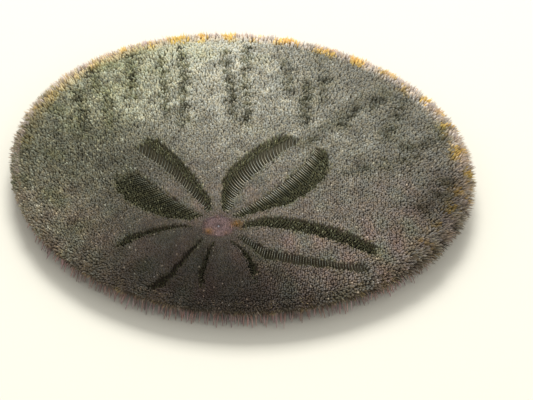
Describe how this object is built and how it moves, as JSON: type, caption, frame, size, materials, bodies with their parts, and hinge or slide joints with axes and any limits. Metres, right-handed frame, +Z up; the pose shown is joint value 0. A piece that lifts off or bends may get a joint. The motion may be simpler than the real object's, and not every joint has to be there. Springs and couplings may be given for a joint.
{
  "type": "eccentric sand dollar",
  "caption": "Still life-size sand dollar lying flat: a low dome with an off-centre flower of petals, short spines above and below and a fringe of slender spines round the rim.",
  "frame": {"origin": "centre of the bounding box at the level of the underside spines' tips, the surface that the animal lies on", "axes": "+Z up through the upper side, +Y towards the animal's front, +X towards its right side seen from above"},
  "size_m": [0.0806, 0.0779, 0.0091],
  "materials": {
    "apical_disc": "pinkish mauve plates, matt, with fine pits",
    "petals": "olive black pore bands crossed by pale combs, with mauve brown between them",
    "upper_side": "dense short spines, greyish mauve over olive brown, matt with a soft sheen",
    "rim": "pinkish tan fringe of slender spines, slightly translucent",
    "underside": "brownish mauve with paler spines and bare food grooves",
    "mouth": "dark membrane round pale tooth tips",
    "anus": "dark membrane, matt"
  },
  "bodies": {
    "root": {"anus": "anus", "apical_disc": "apical_disc", "field_front_left": "upper_side", "field_front_right": "upper_side", "field_left": "upper_side", "field_rear": "upper_side", "field_right": "upper_side", "mouth": "mouth", "petal_front": "petals", "petal_left": "petals", "petal_rear_left": "petals", "petal_rear_right": "petals", "petal_right": "petals", "rim_01": "rim", "rim_02": "rim", "rim_03": "rim", "rim_04": "rim", "rim_05": "rim", "rim_06": "rim", "rim_07": "rim", "rim_08": "rim", "rim_09": "rim", "rim_10": "rim", "under_front_left": "underside", "under_front_right": "underside", "under_left": "underside", "under_rear": "underside", "under_right": "underside"}
  },
  "joints": []
}
